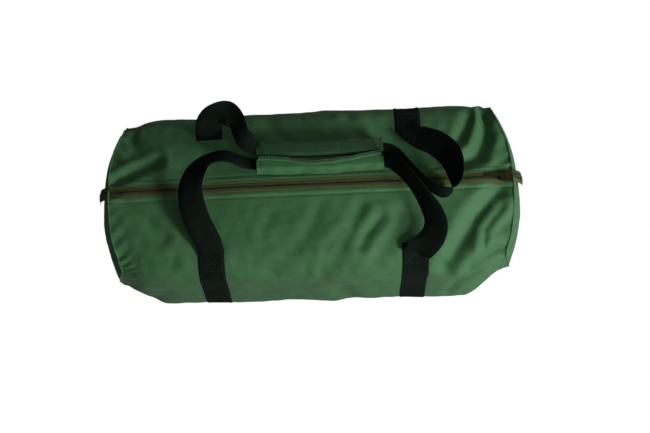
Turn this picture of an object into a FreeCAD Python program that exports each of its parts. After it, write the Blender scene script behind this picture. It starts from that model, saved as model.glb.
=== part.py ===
"""Soft padded carry case for a small telescope: zipped top, two webbing handles, two-part grip.

Frame: +X along the case, +Y to its back, +Z up, origin at the middle of the footprint. Millimetres.
"""
import FreeCAD
import Part
import math
import os

V = FreeCAD.Vector
doc = FreeCAD.newDocument("telescope_carry_case")

# ---------------------------------------------------------------- driving dimensions
SIZES = {
    "body_half": (294.0, "seam plane of each end panel, from the middle"),
    "case_width": (252.0, "over the outer fabric"),
    "ridge_height": (190.0, "outer fabric at the zip, above the floor"),
    "shoulder_height": (136.0, "fold line of each top half"),
    "base_radius": (40.0, "long bottom edges"),
    "shoulder_radius": (38.0, "top edges"),
    "ridge_half": (12.0, "half of the flat strip along the zip"),
    "end_bulge": (16.0, "stuffed end panel, beyond its seam"),
    "fabric": (1.2, "coated polyester"),
    "foam": (9.0, "padding"),
    "lining": (0.8, "lining cloth"),
    "ply_gap": (0.3, "clearance between plies"),
    "webbing_width": (38.0, "handle webbing"),
    "webbing": (1.6, "thickness of the webbing"),
    "band_offset": (147.0, "middle of each webbing band, from the middle of the case"),
    "front_attach_y": (90.0, "where the front handle leaves the case"),
    "back_attach_y": (77.0, "where the back handle leaves the case"),
    "piping_width": (4.0, "end seam piping, along the case"),
    "zip_gap_half": (8.0, "half of the slot between the fabric hems"),
    "tape_inner": (3.0, "inner edge of each zip tape"),
    "tape_outer": (11.8, "outer edge of each zip tape"),
    "tape": (0.9, "thickness of the zip tape"),
    "coil_inner": (1.3, "inner face of each coil"),
    "coil_width": (2.9, "width of each coil"),
    "coil_height": (2.6, "height of each coil above its tape"),
    "slider_length": (16.0, "zip slider"),
    "slider_half": (6.5, "half width of the slider"),
    "slider_plate": (1.4, "thickness of the slider's plates"),
    "park_length": (22.0, "stretch at each end where the slider parks"),
    "pull_length": (30.0, "zip pull"),
    "grip_length": (182.0, "padded grip"),
    "grip_width": (21.5, "one half of the grip"),
    "grip_height": (18.0, "one half of the grip"),
    "grip_x": (15.0, "middle of the grip"),
    "grip_y": (36.0, "middle of the grip"),
    "grip_z": (203.0, "middle of the grip"),
    "grip_tilt": (12.0, "the grip leans with the back slope, degrees"),
    "fold_width": (12.7, "webbing folded lengthwise inside the grip"),
    "fold_height": (4.8, "thickness of the folded webbing"),
    "closure": (0.8, "each half of the hook and loop closure"),
}
sheet = doc.addObject("Spreadsheet::Sheet", "Sizes")
for row, (alias, (value, meaning)) in enumerate(SIZES.items(), start=1):
    sheet.set(f"A{row}", alias)
    sheet.set(f"B{row}", str(value))
    sheet.set(f"C{row}", meaning)
    sheet.setAlias(f"B{row}", alias)
doc.recompute()


def size(alias):
    return float(getattr(sheet, alias))


def bound(text):
    """An expression in sheet aliases: every alias gets its sheet's name."""
    for alias in sorted(SIZES, key=len, reverse=True):
        text = text.replace(f"[{alias}]", f"Sizes.{alias}")
    return text


nodes = []


def finish_node(obj, label):
    obj.Label = label
    nodes.append(obj)
    return obj


# ---------------------------------------------------------------- one cross section drives every ply
def make_section():
    """The outer fabric's outline across the case: wall, shoulder arc, slope, ridge."""
    sketch = doc.addObject("Sketcher::SketchObject", "Section")
    half, top, base = size("case_width") / 2, size("ridge_height"), size("webbing") + size("ply_gap")
    r_low, r_high = size("base_radius"), size("shoulder_radius")
    flat, fold = size("ridge_half"), size("shoulder_height")
    cy, cz = half - r_high, fold
    # the slope is the tangent from the ridge's edge to the shoulder arc
    dy, dz = flat - cy, top - cz
    reach = math.hypot(dy, dz)
    lean = math.atan2(dz, dy) - math.acos(r_high / reach)
    ty, tz = cy + r_high * math.cos(lean), cz + r_high * math.sin(lean)
    geo = []
    for s in (1, -1):
        low_mid = (s * (half - r_low * (1 - math.sqrt(0.5))), base + r_low * (1 - math.sqrt(0.5)))
        high_mid = (s * (cy + r_high * math.cos(lean / 2)), cz + r_high * math.sin(lean / 2))
        geo.append(Part.Arc(V(s * (half - r_low), base, 0), V(*low_mid, 0), V(s * half, base + r_low, 0)))
        geo.append(Part.LineSegment(V(s * half, base + r_low, 0), V(s * half, fold, 0)))
        geo.append(Part.Arc(V(s * half, fold, 0), V(*high_mid, 0), V(s * ty, tz, 0)))
        geo.append(Part.LineSegment(V(s * ty, tz, 0), V(s * flat, top, 0)))
    geo.append(Part.LineSegment(V(-flat, top, 0), V(flat, top, 0)))
    geo.append(Part.LineSegment(V(-(half - r_low), base, 0), V(half - r_low, base, 0)))
    sketch.addGeometry(geo, False)
    return sketch


section = make_section()
ACROSS = FreeCAD.Rotation(V(1, 1, 1), 120)  # the sketch's x, y and normal become the case's Y, Z and X


def form(name, inset, length, start=None):
    """The section moved in by `inset` (an expression) and drawn out along X."""
    outline = section
    if inset != "0":
        outline = doc.addObject("Part::Offset2D", name + "_outline")
        outline.Source = section
        outline.Join = "Intersection"
        outline.setExpression("Value", bound(f"-({inset})"))
    solid = doc.addObject("Part::Extrusion", name)
    solid.Base = outline
    solid.DirMode = "Custom"
    solid.Dir = V(0, 0, 1)
    solid.Solid = True
    solid.Placement.Rotation = ACROSS
    solid.setExpression("LengthFwd", bound(length))
    solid.setExpression("Placement.Base.x", bound(start or f"-({length})/2"))
    return solid


def difference(name, base, tool):
    cut = doc.addObject("Part::Cut", name)
    cut.Base, cut.Tool = base, tool
    return cut


def box(name, low, high):
    """A box between two corners, each written as three expressions."""
    block = doc.addObject("Part::Box", name)
    for side, k in (("Length", 0), ("Width", 1), ("Height", 2)):
        block.setExpression(side, bound(f"({high[k]}) - ({low[k]})"))
    for axis, k in (("x", 0), ("y", 1), ("z", 2)):
        block.setExpression(f"Placement.Base.{axis}", bound(low[k]))
    return block


def overlap(label, shape, region):
    both = doc.addObject("Part::Common", label)
    both.Base, both.Tool = shape, region
    return finish_node(both, label)


TUBE = "2 * [body_half]"
FOAM_OUT = "[fabric] + [ply_gap]"
FOAM_IN = "[fabric] + [ply_gap] + [foam]"
LINING_OUT = "[fabric] + 2 * [ply_gap] + [foam]"
LINING_IN = "[fabric] + 2 * [ply_gap] + [foam] + [lining]"
FAR = "2 * [case_width]"
HALF = "[body_half] + [case_width]"


def shell(name, outer, inner):
    return difference(name, form(name + "_outer", outer, TUBE), form(name + "_inner", inner, TUBE + " + 2"))


plies = {
    "fabric": shell("fabric_shell", "0", "[fabric]"),
    "foam": shell("foam_shell", FOAM_OUT, FOAM_IN),
    "lining": shell("lining_shell", LINING_OUT, LINING_IN),
}
ply_words = {"fabric": "panel", "foam": "foam", "lining": "lining"}

for ply, body in plies.items():
    word = ply_words[ply]
    top_edge = "[zip_gap_half]" if ply == "fabric" else "[tape_outer] + 1"
    overlap(f"base_{word}", body, box(
        f"base_{ply}_region", (f"-({HALF})", f"-({FAR})", "-10"),
        (HALF, FAR, "[webbing] + [ply_gap] + [base_radius]")))
    for side, sign in (("front", -1), ("back", 1)):
        near, far = ("-" + FAR, "0") if sign < 0 else ("0", FAR)
        overlap(f"{side}_wall_{word}", body, box(
            f"{side}_wall_{ply}_region",
            (f"-({HALF})", near, "[webbing] + 2 * [ply_gap] + [base_radius]"),
            (HALF, far, "[shoulder_height] - [ply_gap]")))
        near, far = ("-" + FAR, f"-({top_edge})") if sign < 0 else (top_edge, FAR)
        overlap(f"{side}_top_{word}", body, box(
            f"{side}_top_{ply}_region", (f"-({HALF})", near, "[shoulder_height]"), (HALF, far, FAR)))


# ---------------------------------------------------------------- stuffed end panels and their piping
def rounded_cap(name, inset, depth, radius):
    """The section drawn out by `depth` from the seam plane, its outer rim rounded off."""
    cap = form(name + "_form", inset, depth, start="[body_half] + [ply_gap]")
    doc.recompute()
    rim = [
        (i, radius, radius)
        for i, edge in enumerate(cap.Shape.Edges, start=1)
        if edge.BoundBox.XMin > size("body_half") + size("ply_gap") + 0.5
    ]
    fillet = doc.addObject("Part::Fillet", name)
    fillet.Base = cap
    fillet.Edges = rim
    return fillet


rim = size("end_bulge") - 2.0
cap_outer = rounded_cap("cap_outer", "0", "[end_bulge]", rim)
cap_inner = rounded_cap("cap_inner", "[fabric]", "[end_bulge] - [fabric]", rim - size("fabric"))
cap_foam = rounded_cap(
    "cap_foam", FOAM_OUT, "[end_bulge] - [fabric] - [ply_gap]", rim - size("fabric") - size("ply_gap"))
cap_fabric = difference("cap_fabric", cap_outer, cap_inner)
piping_ring = difference(
    "piping_ring",
    form("piping_outer", "-[ply_gap] - [fabric]", "[piping_width]", start="[body_half] + [ply_gap]"),
    form("piping_inner", "-[ply_gap]", "[piping_width] + 1", start="[body_half]"))
raised = rounded_cap(
    "raised", "-[ply_gap] - [fabric]", "[end_bulge] + [ply_gap] + [fabric]", rim + size("ply_gap") + size("fabric"))
raised_inner = rounded_cap("raised_inner", "-[ply_gap]", "[end_bulge] + [ply_gap]", rim + size("ply_gap"))
zip_end = doc.addObject("Part::Common", "zip_end")
zip_end.Base = difference("raised_skin", raised, raised_inner)
zip_end.Tool = box(
    "zip_end_region",
    ("[body_half] + 2 * [ply_gap] + [piping_width]", "-[zip_gap_half]", "[ridge_height] - 18"),
    ("[body_half] + 2 * [end_bulge]", "[zip_gap_half]", FAR))
end_lining = form("end_lining", LINING_IN + " + [ply_gap]", "[lining]", start="[body_half] - [lining]")


def both_ends(label, source):
    """The right-hand piece as it is, and its mirror image at the left."""
    right = doc.addObject("Part::Compound", "right_" + label)
    right.Links = [source]
    finish_node(right, "right_" + label)
    left = doc.addObject("Part::Mirroring", "left_" + label)
    left.Source = source
    left.Normal = V(1, 0, 0)
    finish_node(left, "left_" + label)


both_ends("end_panel", cap_fabric)
both_ends("end_foam", cap_foam)
both_ends("end_lining", end_lining)
both_ends("end_piping", piping_ring)
both_ends("zip_end_tab", zip_end)

# ---------------------------------------------------------------- webbing bands sewn round the case
webbing_shell = difference(
    "webbing_shell",
    form("webbing_outer", "-[ply_gap] - [webbing]", TUBE),
    form("webbing_inner", "-[ply_gap]", TUBE + " + 2"))
for end, sign in (("left", "-"), ("right", "")):
    low_x = f"{sign}[band_offset] - [webbing_width] / 2"
    high_x = f"{sign}[band_offset] + [webbing_width] / 2"
    overlap(f"{end}_webbing_band", webbing_shell, box(
        f"{end}_band_region", (low_x, "-" + FAR, "-10"), (high_x, FAR, "[shoulder_height] - [ply_gap]")))
    overlap(f"front_{end}_webbing_top", webbing_shell, box(
        f"front_{end}_region", (low_x, "-" + FAR, "[shoulder_height]"), (high_x, "-[front_attach_y]", FAR)))
    overlap(f"back_{end}_webbing_top", webbing_shell, box(
        f"back_{end}_region", (low_x, "[back_attach_y]", "[shoulder_height]"), (high_x, FAR, FAR)))

# ---------------------------------------------------------------- zip: tapes, coils, stops, slider, pull
TAPE_TOP = "[ridge_height] - [fabric] - [ply_gap]"
COIL_OUT = "[coil_inner] + [coil_width]"
for side, sign, reach in (("front", -1, "[body_half] - [park_length]"), ("back", 1, "[body_half]")):
    tape_y = ("-[tape_outer]", "-[tape_inner]") if sign < 0 else ("[tape_inner]", "[tape_outer]")
    coil_y = (f"-({COIL_OUT})", "-[coil_inner]") if sign < 0 else ("[coil_inner]", COIL_OUT)
    tape = box(f"{side}_zip_tape",
               (f"-({reach})", tape_y[0], f"{TAPE_TOP} - [tape]"), (reach, tape_y[1], TAPE_TOP))
    finish_node(tape, f"{side}_zip_tape")
    coil = box(f"{side}_zip_coil",
               (f"-({reach}) + 2", coil_y[0], TAPE_TOP), (f"{reach} - 2", coil_y[1], f"{TAPE_TOP} + [coil_height]"))
    finish_node(coil, f"{side}_zip_coil")
    stops = doc.addObject("Part::Compound", f"{side}_zip_stops")
    stops.Links = [
        box(f"{side}_left_stop", (f"-({reach})", coil_y[0], TAPE_TOP),
            (f"-({reach}) + 1.8", coil_y[1], f"{TAPE_TOP} + [coil_height]")),
        box(f"{side}_right_stop", (f"{reach} - 1.8", coil_y[0], TAPE_TOP),
            (reach, coil_y[1], f"{TAPE_TOP} + [coil_height]")),
    ]
    finish_node(stops, f"{side}_zip_stops")


def fuse(label, parts):
    joined = doc.addObject("Part::MultiFuse", label)
    joined.Shapes = parts
    return joined


PARK = "[body_half] - [park_length] / 2"
NOSE, TAIL = f"{PARK} + [slider_length] / 2", f"{PARK} - [slider_length] / 2"
ROOF = f"{TAPE_TOP} + [coil_height] + 0.3"
SOLE = f"{TAPE_TOP} - [tape] - 0.4"
PIN_Z = f"{ROOF} + [slider_plate] + 2.6"
slider_parts = [
    box("slider_top", (TAIL, "-[slider_half]", ROOF), (NOSE, "[slider_half]", f"{ROOF} + [slider_plate]")),
    box("slider_bottom", (TAIL, "-[slider_half]", f"{SOLE} - [slider_plate]"), (NOSE, "[slider_half]", SOLE)),
    box("slider_post", (f"{NOSE} - 4", "-[coil_inner] + 0.3", f"{SOLE} - 0.5"),
        (NOSE, "[coil_inner] - 0.3", f"{ROOF} + 0.5")),
]
for side, low, high in (("front", "-[slider_half]", f"-({COIL_OUT}) - 0.4"), ("back", f"{COIL_OUT} + 0.4", "[slider_half]")):
    slider_parts.append(box(f"slider_{side}_rim", (TAIL, low, f"{TAPE_TOP} + 0.3"), (NOSE, high, f"{ROOF} + 0.5")))
    near, far = ("-4", "-2.6") if side == "front" else ("2.6", "4")
    slider_parts.append(box(f"slider_{side}_ear", (f"{PARK} - 2", near, f"{ROOF} + 0.5"), (f"{PARK} + 2", far, f"{PIN_Z} + 1.4")))
pin = doc.addObject("Part::Cylinder", "slider_pin")
pin.Radius = 0.7
pin.Height = 6.0
pin.Placement.Rotation = FreeCAD.Rotation(V(1, 0, 0), -90)
pin.setExpression("Placement.Base.x", bound(PARK))
pin.Placement.Base.y = -3.0
pin.setExpression("Placement.Base.z", bound(PIN_Z))
finish_node(fuse("zip_slider", slider_parts + [pin]), "zip_slider")

pull_plate = box("pull_plate", (f"{PARK} - [pull_length]", "-2.3", f"{PIN_Z} - 0.7"), (f"{PARK} + 1.6", "2.3", f"{PIN_Z} + 0.7"))
pull_eye = doc.addObject("Part::Cylinder", "pull_eye")
pull_eye.Radius = 1.6
pull_eye.Height = 4.6
pull_bore = doc.addObject("Part::Cylinder", "pull_bore")
pull_bore.Radius = 0.8
pull_bore.Height = 8.0
for cylinder, start in ((pull_eye, -2.3), (pull_bore, -4.0)):
    cylinder.Placement.Rotation = FreeCAD.Rotation(V(1, 0, 0), -90)
    cylinder.setExpression("Placement.Base.x", bound(PARK))
    cylinder.Placement.Base.y = start
    cylinder.setExpression("Placement.Base.z", bound(PIN_Z))
finish_node(difference("zip_pull", fuse("pull_blank", [pull_plate, pull_eye]), pull_bore), "zip_pull")


# ---------------------------------------------------------------- grip: two padded halves that close on hook and loop
def grip_local(y, z):
    """A point across the tilted grip, in the case's frame."""
    a = math.radians(-size("grip_tilt"))
    return (size("grip_y") + y * math.cos(a) - z * math.sin(a), size("grip_z") + y * math.sin(a) + z * math.cos(a))


def lay_on_grip(shape):
    shape.rotate(V(0, 0, 0), V(1, 0, 0), -size("grip_tilt"))
    shape.translate(V(size("grip_x"), size("grip_y"), size("grip_z")))
    return shape


def feature(label, shape):
    obj = doc.addObject("Part::Feature", label)
    obj.Shape = shape
    return finish_node(obj, label)


def bar(length, width, height, middle, radius=0.0):
    block = Part.makeBox(length, width, height, V(-length / 2, middle - width / 2, -height / 2))
    if radius:
        block = block.makeFillet(radius, [e for e in block.Edges if e.BoundBox.XLength > length - 1])
    return block


GAP = size("ply_gap")
half_middle = size("grip_width") / 2 + size("closure") + GAP
for side, sign in (("front", -1), ("back", 1)):
    middle = sign * half_middle
    long, wide, high = size("grip_length"), size("grip_width"), size("grip_height")
    skin = size("fabric")
    cover = bar(long, wide, high, middle, 6.0).cut(bar(long + 2, wide - 2 * skin, high - 2 * skin, middle, 4.8))
    bore = bar(long + 2, size("fold_width") + 2 * GAP, size("fold_height") + 2 * GAP, middle)
    pad = bar(long - 2, wide - 2 * skin - 2 * GAP, high - 2 * skin - 2 * GAP, middle, 4.6).cut(bore)
    closure = bar(long - 20, size("closure"), high * 0.6, sign * (GAP + size("closure") / 2))
    feature(f"{side}_grip_cover", lay_on_grip(cover))
    feature(f"{side}_grip_foam", lay_on_grip(pad))
    feature("grip_hook_strip" if side == "front" else "grip_loop_strip", lay_on_grip(closure))


# ---------------------------------------------------------------- handles: webbing ribbons
def ribbon(stations):
    """A flat band through stations (centre, across, half width, half thickness)."""
    rings, winding = [], []
    last = stations[0][1]
    for i, (p, across, half_w, half_t) in enumerate(stations):
        before, after = stations[max(i - 1, 0)][0], stations[min(i + 1, len(stations) - 1)][0]
        along = (after - before).normalize()
        across = (across - along * across.dot(along)).normalize()
        if across.dot(last) < 0:
            across = across * -1
        last = across
        up = along.cross(across)
        corners = [p + across * (half_w * a) + up * (half_t * b) for a, b in ((1, 1), (-1, 1), (-1, -1), (1, -1))]
        rings.append(Part.makePolygon(corners + corners[:1]))
        winding.append(Part.makePolygon(corners[::-1] + corners[-1:]))
    for order in (rings, rings[::-1], winding, winding[::-1]):
        band = Part.makeLoft(order, True, True)
        if band.Volume > 0:
            return band
    return Part.Solid(Part.Shell([face.reversed() for face in band.Faces]))


def leg(points, steps=3):
    """Stations of one leg: its points joined by a smooth curve, with `steps` rings to each stretch."""
    half_w, half_t = size("webbing_width") / 2, size("webbing") / 2
    path = Part.BSplineCurve()
    across = [V(*points[0][1]).normalize()]
    for _, direction in points[1:]:
        direction = V(*direction).normalize()
        across.append(direction if direction.dot(across[-1]) > 0 else direction * -1)
    path.interpolate(Points=[V(*p) for p, _ in points], Parameters=[float(k) for k in range(len(points))])
    rings = [(V(*points[0][0]), across[0], half_w, half_t)]
    for k in range(len(points) - 1):
        for i in range(1, steps + 1):
            t = i / steps
            here, there = V(*points[k][0]), V(*points[k + 1][0])
            upright = here.x == there.x and here.y == there.y
            centre = here + (there - here) * t if upright else path.value(k + t)
            rings.append((centre, across[k] * (1 - t) + across[k + 1] * t, half_w, half_t))
    return rings


def grip_run(side):
    """The folded webbing through one half of the grip, left to right."""
    y, z = grip_local((-1 if side == "front" else 1) * half_middle, 0)
    a = math.radians(-size("grip_tilt"))
    across = V(0, math.cos(a), math.sin(a))
    half = size("grip_length") / 2
    run = []
    for x in (-half - 4, half + 4):
        run.append((V(size("grip_x") + x, y, z), across, size("fold_width") / 2, size("fold_height") / 2))
    return run


# each leg between the case and the grip: (centre), (direction across the band)
FRONT_LEFT = [
    ((-147, -90, 177.2), (1, 0, 0)), ((-147, -90, 184), (1, 0, 0)), ((-150, -84, 194), (1, 0, 0)),
    ((-163, -64, 204), (1, 0.2, 0)), ((-174, -38, 212), (1, 0.1, 0.1)), ((-175, -10, 219), (0.95, 0, 0.3)),
    ((-164, 16, 224), (0.7, -0.4, 0.6)), ((-142, 32, 224), (0.3, -0.5, 0.8)), ((-112, 32, 215), (0, -0.7, 0.5)),
]
FRONT_RIGHT = [
    ((124, 16, 216), (0.2, 0.8, 0.5)), ((141, -2, 224), (0.6, 0.4, 0.7)), ((160, -28, 224), (0.6, 0.35, 0.7)),
    ((180, -54, 217), (0.7, 0.2, 0.68)), ((188, -72, 211), (0.8, -0.1, 0.6)), ((178, -82, 205), (0.9, -0.3, 0.3)),
    ((158, -87, 197), (0.97, -0.2, 0.1)), ((147, -90, 185), (1, 0, 0)), ((147, -90, 177.2), (1, 0, 0)),
]
BACK_LEFT = [
    ((-147, 77, 179.7), (1, 0, 0)), ((-147, 77, 190), (1, 0, 0)), ((-149, 82, 210), (1, 0, 0)),
    ((-148, 90, 232), (1, 0.1, 0)), ((-138, 93, 246), (0.8, 0.5, 0)), ((-120, 82, 244), (0.3, 0.9, 0)),
    ((-102, 62, 226), (0.1, 0.9, -0.1)),
]
BACK_RIGHT = [
    ((124, 46, 206), (0, 0.8, 0.6)), ((150, 32, 212), (0.1, 0.4, 0.9)), ((178, 12, 217), (0, 0.1, 0.95)),
    ((198, 0, 221), (0, 0, 1)), ((213, 8, 226), (0, 0, 1)), ((213, 30, 230), (0.3, 0, 0.95)),
    ((198, 54, 229), (0.6, 0.3, 0.7)), ((172, 70, 218), (0.8, 0.4, 0.4)), ((152, 77, 204), (1, 0, 0.2)),
    ((147, 77, 190), (1, 0, 0)), ((147, 77, 179.7), (1, 0, 0)),
]
feature("front_handle_webbing", ribbon(leg(FRONT_LEFT) + grip_run("front") + leg(FRONT_RIGHT)))
feature("back_handle_webbing", ribbon(leg(BACK_LEFT) + grip_run("back") + leg(BACK_RIGHT)))

# ---------------------------------------------------------------- check and write
doc.recompute()
for obj in doc.Objects:
    if "Invalid" in obj.State or "Error" in obj.State:
        raise RuntimeError(f"{obj.Name} failed: {obj.State}")
os.makedirs("parts", exist_ok=True)
for node in nodes:
    shape = node.Shape
    if shape.isNull() or not shape.isValid() or not shape.Solids:
        raise RuntimeError(f"{node.Label} has no valid solid")
    solids = [s for s in shape.Solids if s.Volume > 0.01]
    out = solids[0] if len(solids) == 1 else Part.makeCompound(solids)
    out.exportStep(f"parts/{node.Label}.step")
    b = shape.BoundBox
    print(f"{node.Label:26s} {len(solids)} solid(s) {sum(s.Volume for s in solids):12.1f} mm3"
          f"  x {b.XMin:7.1f} {b.XMax:7.1f}  y {b.YMin:7.1f} {b.YMax:7.1f}  z {b.ZMin:6.1f} {b.ZMax:6.1f}")
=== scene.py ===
import bpy
import math
import numpy as np
from mathutils import Vector, Matrix


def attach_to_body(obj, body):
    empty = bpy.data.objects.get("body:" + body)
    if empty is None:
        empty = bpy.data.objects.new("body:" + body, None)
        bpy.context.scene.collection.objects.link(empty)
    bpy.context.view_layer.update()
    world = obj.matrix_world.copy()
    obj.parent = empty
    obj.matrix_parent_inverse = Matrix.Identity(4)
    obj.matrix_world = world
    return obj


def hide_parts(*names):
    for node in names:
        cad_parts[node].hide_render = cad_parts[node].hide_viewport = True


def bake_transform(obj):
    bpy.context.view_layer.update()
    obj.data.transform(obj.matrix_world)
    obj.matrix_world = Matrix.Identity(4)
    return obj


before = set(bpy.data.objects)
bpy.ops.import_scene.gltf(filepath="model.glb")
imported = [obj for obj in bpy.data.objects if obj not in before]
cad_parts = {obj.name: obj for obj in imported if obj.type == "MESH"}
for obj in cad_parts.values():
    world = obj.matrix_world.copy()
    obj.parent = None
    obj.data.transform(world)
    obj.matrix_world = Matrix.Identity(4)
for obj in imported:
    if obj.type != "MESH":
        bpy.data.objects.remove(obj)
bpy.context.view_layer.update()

# ---------------------------------------------------------------- sizes of the case, in metres
HALF, WIDTH, FLOOR = 0.294, 0.126, 0.0019
BASE_R, SHOULDER_R, SHOULDER_Z = 0.040, 0.038, 0.136
RIDGE_Z, RIDGE_HALF, HEM = 0.190, 0.012, 0.0100
THICK = 0.0105
BAND_X, BAND_W, WEB = 0.147, 0.038, 0.0016
FRONT, BACK = -1.0, 1.0
SIDES = ((FRONT, "front"), (BACK, "back"))
ENDS = ((-1, "left"), (1, "right"))
STEP = 0.0026
SPLIT, CLOSED_END = 0.150, 0.285


# ---------------------------------------------------------------- materials
def linear(hex_code):
    """A screen colour such as "4B7C4F" as the linear values that a shader takes."""
    rgb = [int(hex_code[i:i + 2], 16) / 255 for i in (0, 2, 4)]
    return [c / 12.92 if c <= 0.04045 else ((c + 0.055) / 1.055) ** 2.4 for c in rgb] + [1.0]


class Nodes:
    """A material being built: short ways to add and join its nodes."""

    def __init__(self, name):
        self.mat = bpy.data.materials.new(name)
        self.mat.use_nodes = True
        self.tree = self.mat.node_tree
        self.shader = self.tree.nodes["Principled BSDF"]

    def add(self, kind, values=None, **props):
        node = self.tree.nodes.new(kind)
        for key, value in props.items():
            setattr(node, key, value)
        for key, value in (values or {}).items():
            if isinstance(value, bpy.types.NodeSocket):
                self.tree.links.new(value, node.inputs[key])
            else:
                node.inputs[key].default_value = value
        return node

    def math(self, operation, a, b=0.0, clamp=False):
        return self.add("ShaderNodeMath", {0: a, 1: b}, operation=operation, use_clamp=clamp).outputs[0]

    def mix(self, factor, a, b):
        node = self.add("ShaderNodeMix", data_type="RGBA")
        for key, value in (("Factor", factor), ("A", a), ("B", b)):
            socket = [s for s in node.inputs if s.name == key and s.enabled][0]
            if isinstance(value, bpy.types.NodeSocket):
                self.tree.links.new(value, socket)
            else:
                socket.default_value = value
        return [s for s in node.outputs if s.enabled][0]

    def uv(self):
        return self.add("ShaderNodeUVMap", uv_map="cloth").outputs[0]

    def wave(self, vector, axis, mm):
        """A sine along one cloth direction, one cycle every `mm` millimetres."""
        part = self.add("ShaderNodeSeparateXYZ", {0: vector}).outputs[axis]
        turn = self.math("MULTIPLY", part, 2 * math.pi * 1000 / mm)
        return self.math("SINE", turn)

    def noise(self, vector, mm, detail=4.0, rough=0.5):
        values = {"Vector": vector, "Scale": 1000 / mm, "Detail": detail, "Roughness": rough}
        return self.add("ShaderNodeTexNoise", values).outputs[0]

    def bump(self, height, mm, normal=None):
        values = {"Height": height, "Distance": mm / 1000, "Strength": 1.0}
        if normal:
            values["Normal"] = normal
        return self.add("ShaderNodeBump", values).outputs[0]

    def set(self, **values):
        for key, value in values.items():
            socket = self.shader.inputs[key.replace("_", " ")]
            if isinstance(value, bpy.types.NodeSocket):
                self.tree.links.new(value, socket)
            else:
                socket.default_value = value


def coated_polyester(name, light, dark, rough=0.6):
    """Tight plain-weave polyester: fine weave, faint cloudy shading, worn paler patches, soft sheen."""
    n = Nodes(name)
    uv = n.uv()
    warp, weft = n.wave(uv, 0, 0.9), n.wave(uv, 1, 0.9)
    weave = n.math("MULTIPLY", warp, weft)
    cloud = n.noise(uv, 90, 3.0)
    slub = n.noise(uv, 6, 4.0, 0.6)
    tone = n.math("ADD", n.math("MULTIPLY", cloud, 0.55), n.math("MULTIPLY", slub, 0.35))
    tone = n.math("ADD", tone, n.math("MULTIPLY", weave, 0.05), clamp=True)
    n.set(Base_Color=n.mix(tone, linear(dark), linear(light)))
    n.set(Roughness=n.math("ADD", n.math("MULTIPLY", slub, 0.14), rough - 0.07))
    n.set(IOR=1.5, Specular_IOR_Level=0.22, Sheen_Weight=0.03, Sheen_Roughness=0.4)
    soft = n.bump(n.noise(uv, 22, 5.0, 0.6), 1.3)
    n.set(Normal=n.bump(weave, 0.05, soft))
    return n.mat


def nylon_webbing(name, light, dark):
    """Heavy nylon webbing: lengthwise cords crossed by picks, rounded ribs, a little dust."""
    n = Nodes(name)
    uv = n.uv()
    rib, pick = n.wave(uv, 1, 2.4), n.wave(uv, 0, 1.7)
    crossing = n.math("MULTIPLY", rib, pick)
    weave = n.math("ADD", n.math("MULTIPLY", rib, 0.6), n.math("MULTIPLY", crossing, 0.5))
    dust = n.noise(uv, 14, 5.0, 0.65)
    tone = n.math("ADD", n.math("MULTIPLY", weave, 0.14), n.math("MULTIPLY", dust, 0.7), clamp=True)
    n.set(Base_Color=n.mix(tone, linear(dark), linear(light)))
    n.set(Roughness=0.72, IOR=1.5, Specular_IOR_Level=0.07)
    n.set(Normal=n.bump(weave, 0.22, n.bump(dust, 0.5)))
    return n.mat


def woven_tape(name, light, dark):
    """Zip tape: fine herringbone rows."""
    n = Nodes(name)
    uv = n.uv()
    weave = n.math("MULTIPLY", n.wave(uv, 0, 1.1), n.wave(uv, 1, 1.3))
    dust = n.noise(uv, 20, 4.0)
    tone = n.math("ADD", n.math("MULTIPLY", weave, 0.2), dust, clamp=True)
    n.set(Base_Color=n.mix(tone, linear(dark), linear(light)), Roughness=0.75, Specular_IOR_Level=0.3)
    n.set(Normal=n.bump(weave, 0.12))
    return n.mat


def plain(name, colour, rough, metal=0.0, grain=0.15):
    """Moulded or cast piece: one colour, fine grain and uneven polish."""
    n = Nodes(name)
    spot = n.add("ShaderNodeTexCoord").outputs["Object"]
    mottle = n.noise(spot, 5, 4.0)
    n.set(Base_Color=n.mix(mottle, linear(colour), [c * 1.35 for c in linear(colour)[:3]] + [1.0]))
    n.set(Metallic=metal, Roughness=n.math("ADD", n.math("MULTIPLY", mottle, 0.2), rough - 0.1))
    n.set(Normal=n.bump(mottle, grain))
    return n.mat


FABRIC = coated_polyester("case_polyester", "4B7C4F", "345B39")
# painted shade: a darker copy of the grip cloth, for the back grip half, the flap's hem and the top of the
# front half, which lie away from the key light
GRIP_PAINTED_SHADE = coated_polyester("grip_polyester_painted_shade", "34593A", "24422A")
FABRIC_GRIP = coated_polyester("grip_polyester", "4A7F50", "34643B")
LINING = coated_polyester("lining_cloth", "26302A", "161C18", 0.65)
WEBBING = nylon_webbing("handle_webbing", "16251D", "060B08")
TAPE = woven_tape("zip_tape_olive", "59622D", "3B431D")
COIL = plain("zip_coil_olive", "3C4323", 0.42)
METAL = plain("zip_metal_dark", "4A4632", 0.38, 0.9)
THREAD = plain("green_thread", "5B8560", 0.7)
BLACK_THREAD = plain("black_thread", "1B211F", 0.7)
FOAM = plain("foam_grey", "8B8D86", 0.9)
HOOKS = plain("closure_black", "121513", 0.95, 0.0, 0.8)


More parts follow.
